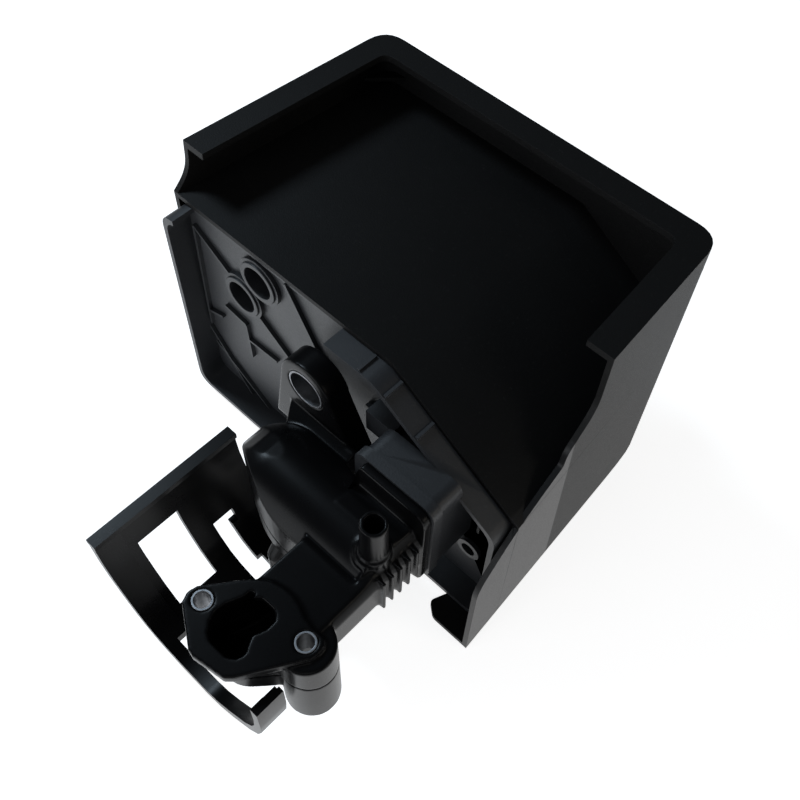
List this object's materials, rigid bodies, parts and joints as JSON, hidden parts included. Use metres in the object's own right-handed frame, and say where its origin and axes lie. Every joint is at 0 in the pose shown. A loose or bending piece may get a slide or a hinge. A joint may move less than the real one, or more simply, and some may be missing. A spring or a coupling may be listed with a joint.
{
  "type": "air filter housing",
  "caption": "Air filter housing of a small engine: lidded case with a panel filter, resonator elbow to the carburettor flange, and a slotted guard.",
  "frame": {"origin": "middle of the two carburettor studs, on the flange's outer face", "axes": "+Z out of the carburettor flange, towards the engine; +X along the case's back wall; +Y from the elbow towards the case's back wall. The part lies on the case's main face, which faces -Z"},
  "size_m": [0.1995, 0.2566, 0.152],
  "materials": {
    "cover_plastic": "fine moulded grain, satin",
    "plate_plastic": "satin moulded, dusty",
    "elbow_plastic": "semi-gloss moulded",
    "frame_plastic": "satin",
    "knob_plastic": "satin",
    "seal_rubber": "matt",
    "element_rubber": "matt moulded",
    "filter_media": "resin-treated paper",
    "filter_foam": "open-cell foam",
    "collar_steel": "zinc plated",
    "screw_steel": "zinc plated",
    "screen_steel": "wire",
    "insert_brass": "turned"
  },
  "bodies": {
    "base": {"base_plate": "plate_plastic", "inlet_snorkels": "plate_plastic", "cover_gasket": "seal_rubber", "neck_seal": "seal_rubber", "outlet_screen": "screen_steel", "elbow_upper_shell": "elbow_plastic", "elbow_lower_shell": "elbow_plastic", "stud_collars": "collar_steel", "lug_sleeve": "collar_steel", "carburettor_guard": "elbow_plastic", "guard_screws": "screw_steel", "cover_studs": "screw_steel", "stud_nuts": "screw_steel", "stud_washers": "screw_steel"},
    "element": {"filter_paper": "filter_media", "element_seal": "element_rubber", "element_frame": "frame_plastic"},
    "prefilter": {"foam_prefilter": "filter_foam", "foam_retainer": "frame_plastic"},
    "cover": {"cover": "cover_plastic", "knob_seals": "seal_rubber"},
    "left_knob": {"left_knob": "knob_plastic", "left_knob_insert": "insert_brass"},
    "right_knob": {"right_knob": "knob_plastic", "right_knob_insert": "insert_brass"}
  },
  "joints": [
    {"name": "cover_pull", "type": "slide", "parent": "base", "child": "cover", "axis": [0, 1, 0], "range_m": [0, 0.15]},
    {"name": "element_pull", "type": "slide", "parent": "base", "child": "element", "axis": [0, 1, 0], "range_m": [0, 0.03]},
    {"name": "prefilter_pull", "type": "slide", "parent": "element", "child": "prefilter", "axis": [0, 1, 0], "range_m": [0, 0.022]},
    {"name": "left_knob_turn", "type": "hinge", "parent": "cover", "child": "left_knob", "pos_m": [-0.1226, 0.2185, -0.038], "axis": [0, 1, 0], "continuous": true},
    {"name": "right_knob_turn", "type": "hinge", "parent": "cover", "child": "right_knob", "pos_m": [-0.0386, 0.2185, 0.023], "axis": [0, 1, 0], "continuous": true}
  ]
}
